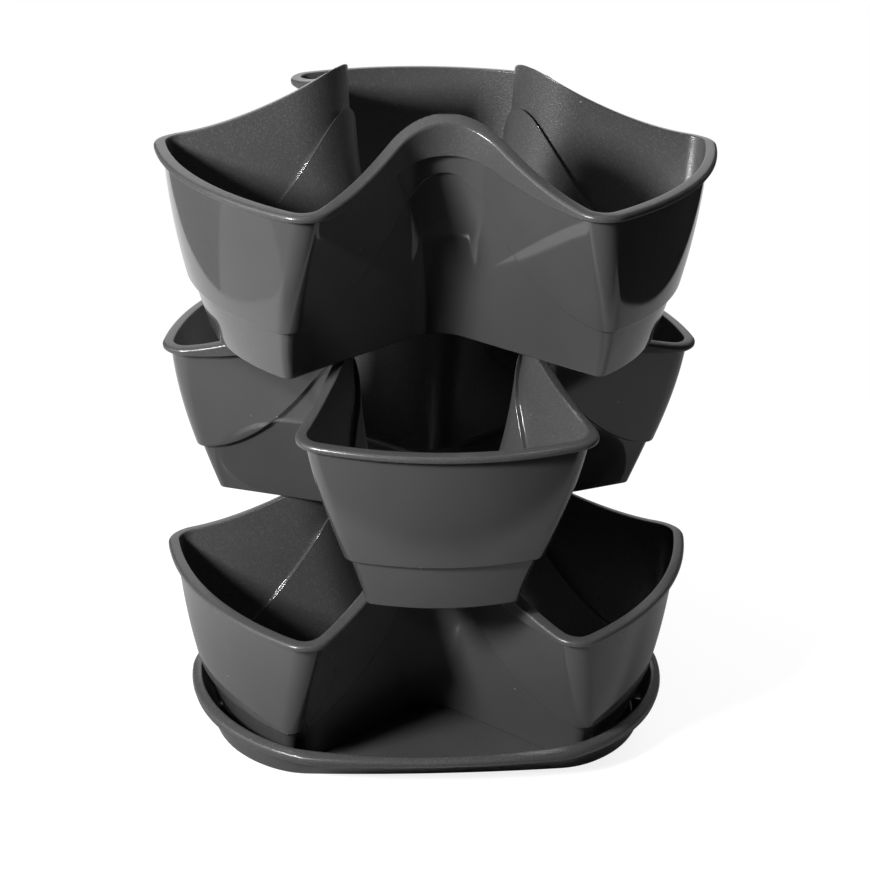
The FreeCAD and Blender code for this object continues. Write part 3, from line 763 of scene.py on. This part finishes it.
def plastic_finish(name, polished, grained, grain_depth):
    """Glossy plastic, its skin grained by the piece's grain attribute."""
    material = bpy.data.materials.new(name)
    material.use_nodes = True
    tree = material.node_tree
    shader = tree.nodes["Principled BSDF"]
    position = add_node(tree, "ShaderNodeTexCoord").outputs["Object"]
    grain = add_node(tree, "ShaderNodeAttribute", attribute_name="grain").outputs["Fac"]
    dust = add_node(tree, "ShaderNodeGroup", {
        "Position": position, "Spacing": DUST_SPACING, "Speck Size": DUST_SIZE, "Share": DUST_SHARE,
    }, node_tree=dust_specks).outputs["Mask"]
    tone = add_node(tree, "ShaderNodeGroup", {
        "Position": position, "Colour": PLASTIC, "Drift": DRIFT, "Drift Size": DRIFT_SIZE,
        "Grain": grain, "Fleck": FLECK, "Fleck Size": GRAIN_SIZE, "Dust": dust, "Dust Colour": DUST,
    }, node_tree=plastic_tone)
    gloss = add_node(tree, "ShaderNodeGroup", {
        "Position": position, "Grain": grain, "Polished": polished, "Grained": grained, "Dust": dust,
    }, node_tree=plastic_gloss)
    skin = add_node(tree, "ShaderNodeGroup", {
        "Position": position, "Grain": grain, "Grain Size": GRAIN_SIZE, "Polish Grain": POLISH_GRAIN,
        "Ripple Size": RIPPLE_SIZE, "Ripple Share": RIPPLE_SHARE,
    }, node_tree=mould_skin)
    bump = add_node(tree, "ShaderNodeBump", {"Height": skin.outputs["Height"], "Distance": grain_depth})
    tree.links.new(tone.outputs["Colour"], shader.inputs["Base Color"])
    tree.links.new(gloss.outputs["Roughness"], shader.inputs["Roughness"])
    tree.links.new(bump.outputs["Normal"], shader.inputs["Normal"])
    return material


pot_plastic = plastic_finish("pot_plastic_finish", polished=0.055, grained=0.33, grain_depth=0.00018)
saucer_plastic = plastic_finish("saucer_plastic_finish", polished=0.08, grained=0.26, grain_depth=0.00025)

# The four pieces

lobes_tree = repeat_tree()
pot_third = pot_lobe()
saucer_third = saucer_lobe()
for name in PLACES:
    is_saucer = name == "saucer"
    piece = moulding(saucer_third if is_saucer else pot_third, name, lobes_tree,
                     saucer_plastic if is_saucer else pot_plastic)
    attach(piece, name)
    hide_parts(name)
for third in (pot_third, saucer_third):
    bpy.data.objects.remove(third)

# Floor: white to the camera, while gloss shows a pale sheet on a darker ground, both of painted light and
# painted shadow, in metres

FLOOR_HALF = 6.0
PALE = 0.22
CAMERA_LIFT = 0.85
SHADE_NEAR, SHADE_FAR = 0.3, 0.95
SHEET_LEFT, SHEET_RIGHT = -0.67, 0.69
SHEET_FRONT = -0.37
SHEET_EDGE = 0.012
FRONT_EDGE = 0.05
FRONT_FADE = 0.2
# painted light of the sheet and the ground seen in gloss, and the painted shadow under the tower
PAINTED_SHEET_DIM, PAINTED_SHEET_BRIGHT = 0.2, 0.5
BRIGHT_FROM, BRIGHT_TO = -0.1, -0.5
SHADOW_IN, SHADOW_OUT = 0.15, 0.42
PAINTED_GROUND_LEFT, LEFT_FROM, LEFT_TO = 0.16, -0.3, -0.6
PAINTED_GROUND_FRONT, FRONT_FROM, FRONT_TO = 0.1, 0.7, -0.5
PAINTED_PATCH_LIGHT = 0.4
PATCH_FRONT, PATCH_BACK = -0.28, 0.26


def floor_paint():
    """Pale paint that is white to the camera, shaded by the tower near it.

    Gloss shows the sheet with painted light, brighter on the left, and painted shadow under the tower, and
    round it the ground with painted light: a light patch on the left, dark on the right."""
    material = bpy.data.materials.new("floor_paint")
    material.use_nodes = True
    tree = material.node_tree
    shader = tree.nodes["Principled BSDF"]
    shader.inputs["Base Color"].default_value = (PALE, PALE, PALE, 1)
    shader.inputs["Roughness"].default_value = 1.0
    shader.inputs["Specular IOR Level"].default_value = 0.0
    pale = shader.outputs[0]
    paths = add_node(tree, "ShaderNodeLightPath").outputs
    place = add_node(tree, "ShaderNodeTexCoord").outputs["Object"]
    away = add_node(tree, "ShaderNodeVectorMath", {0: place}, operation="LENGTH").outputs["Value"]
    sides = add_node(tree, "ShaderNodeSeparateXYZ", {0: place})
    x, y = sides.outputs["X"], sides.outputs["Y"]

    # what the camera sees
    lifted = added_shader(tree, pale, emission(tree, CAMERA_LIFT))
    seen = mixed_shader(tree, ramp(tree, away, SHADE_FAR, SHADE_NEAR), emission(tree, 1.0), lifted)

    # the sheet in gloss, with painted light brighter on the left and painted shadow under the tower
    painted_light_on_left = times(tree, ramp(tree, x, BRIGHT_FROM, BRIGHT_TO),
                ramp(tree, y, SHEET_FRONT, SHEET_FRONT + FRONT_FADE))
    painted_sheet_light = times(tree, plus(tree, times(tree, painted_light_on_left, PAINTED_SHEET_BRIGHT), PAINTED_SHEET_DIM),
                 ramp(tree, away, SHADOW_IN, SHADOW_OUT))
    sheet = added_shader(tree, pale, emission(tree, painted_sheet_light))
    on_sheet = times(tree, band(tree, x, SHEET_LEFT, SHEET_RIGHT, SHEET_EDGE),
                     ramp(tree, y, SHEET_FRONT - FRONT_EDGE, SHEET_FRONT + FRONT_EDGE))

    # the ground round the sheet in gloss, painted light with a painted light patch on the left
    patch = times(tree, band(tree, y, PATCH_FRONT, PATCH_BACK, SHEET_EDGE), PAINTED_PATCH_LIGHT)
    left = times(tree, ramp(tree, x, LEFT_FROM, LEFT_TO), plus(tree, patch, PAINTED_GROUND_LEFT))
    front = times(tree, ramp(tree, x, FRONT_FROM, FRONT_TO), PAINTED_GROUND_FRONT)
    painted_reflection = mixed_shader(tree, on_sheet, emission(tree, plus(tree, left, front)), sheet)

    # glossy rays see the painted light and painted shadow, other rays the pale paint
    unseen = mixed_shader(tree, paths["Is Glossy Ray"], pale, painted_reflection)
    direct = math_node(tree, "MAXIMUM", paths["Is Camera Ray"], paths["Is Transmission Ray"])
    whole = mixed_shader(tree, direct, unseen, seen)
    tree.links.new(whole, tree.nodes["Material Output"].inputs["Surface"])
    return material


floor_mesh = bpy.data.meshes.new("studio_floor")
floor_mesh.from_pydata([(-FLOOR_HALF, -FLOOR_HALF, 0), (FLOOR_HALF, -FLOOR_HALF, 0),
                        (FLOOR_HALF, FLOOR_HALF, 0), (-FLOOR_HALF, FLOOR_HALF, 0)], [], [(0, 1, 2, 3)])
floor_mesh.materials.append(floor_paint())
add_object("studio_floor", floor_mesh)

# World: white to the camera, dim to everything else

WHITE = (1, 1, 1, 1)
WORLD_DIM = 0.04
world = bpy.data.worlds.new("studio_world")
bpy.context.scene.world = world
world.use_nodes = True
wall = world.node_tree
dim = wall.nodes["Background"]
dim.inputs["Color"].default_value = WHITE
dim.inputs["Strength"].default_value = WORLD_DIM
bright = add_node(wall, "ShaderNodeBackground", {"Color": WHITE, "Strength": 1.0})
paths = add_node(wall, "ShaderNodeLightPath").outputs
direct = math_node(wall, "MAXIMUM", paths["Is Camera Ray"], paths["Is Transmission Ray"])
backdrop = mixed_shader(wall, direct, dim.outputs[0], bright.outputs[0])
wall.links.new(backdrop, wall.nodes["World Output"].inputs["Surface"])

# Lamps, in metres and watts

TOWER_MIDDLE = (0, 0, 0.25)


def round_tower(turn, rise, distance):
    """A place seen from the tower's middle at a turn to the right of its front, and a rise."""
    turn, rise = math.radians(turn), math.radians(rise)
    return (distance * math.sin(turn) * math.cos(rise), -distance * math.cos(turn) * math.cos(rise),
            TOWER_MIDDLE[2] + distance * math.sin(rise))


def soft_lamp(name, place, aim, size, power):
    """A rectangular lamp that the camera doesn't see."""
    lamp = bpy.data.lights.new(name, "AREA")
    lamp.shape = "RECTANGLE"
    lamp.size, lamp.size_y = size
    lamp.energy = power
    obj = add_object(name, lamp)
    obj.location = place
    obj.rotation_euler = (Vector(place) - Vector(aim)).to_track_quat("Z", "Y").to_euler()
    obj.visible_camera = False
    return obj


soft_lamp("key_lamp", round_tower(turn=-46, rise=28, distance=1.5), aim=TOWER_MIDDLE,
          size=(0.25, 0.25), power=44)
soft_lamp("window_lamp", round_tower(turn=-80, rise=20, distance=2.2), aim=TOWER_MIDDLE,
          size=(1.6, 1.2), power=13)
far_side_lamp = soft_lamp("far_side_lamp", round_tower(turn=138, rise=18, distance=2.2), aim=TOWER_MIDDLE,
                          size=(1.6, 1.2), power=50)
far_side_lamp.visible_glossy = False
soft_lamp("backdrop_lamp", place=(0.0, 1.9, 0.8), aim=(0, 0, 0.5), size=(1.7, 1.6), power=9)
soft_lamp("top_lamp", place=(-0.4, 0.0, 2.4), aim=(0, 0, 0.3), size=(1.5, 1.5), power=9)

# Camera, fitted to the photo, in metres

CAMERA_DISTANCE = 1.5739
CAMERA_RISE = math.radians(25.22)
CAMERA_TURN = math.radians(-4.61)
CAMERA_ROLL = math.radians(1.43)
CAMERA_AIM = Vector((0.00407, 0.0, 0.22165))
LENS_PIXELS = 2035.23
PHOTO_SIDE = 870
SENSOR = 36.0

camera_data = bpy.data.cameras.new("photo_camera")
camera_data.sensor_width = SENSOR
camera_data.lens = LENS_PIXELS / PHOTO_SIDE * SENSOR
camera = add_object("photo_camera", camera_data)
back = Vector((math.sin(CAMERA_TURN) * math.cos(CAMERA_RISE),
               -math.cos(CAMERA_TURN) * math.cos(CAMERA_RISE), math.sin(CAMERA_RISE)))
right = (-back).cross(Vector((0, 0, 1))).normalized()
up = right.cross(-back)
rolled_right = right * math.cos(CAMERA_ROLL) + up * math.sin(CAMERA_ROLL)
rolled_up = up * math.cos(CAMERA_ROLL) - right * math.sin(CAMERA_ROLL)
camera.matrix_world = Matrix.Translation(CAMERA_AIM + back * CAMERA_DISTANCE) @ Matrix(
    (rolled_right, rolled_up, back)).transposed().to_4x4()
bpy.context.scene.camera = camera
bpy.context.scene.view_settings.view_transform = "Standard"
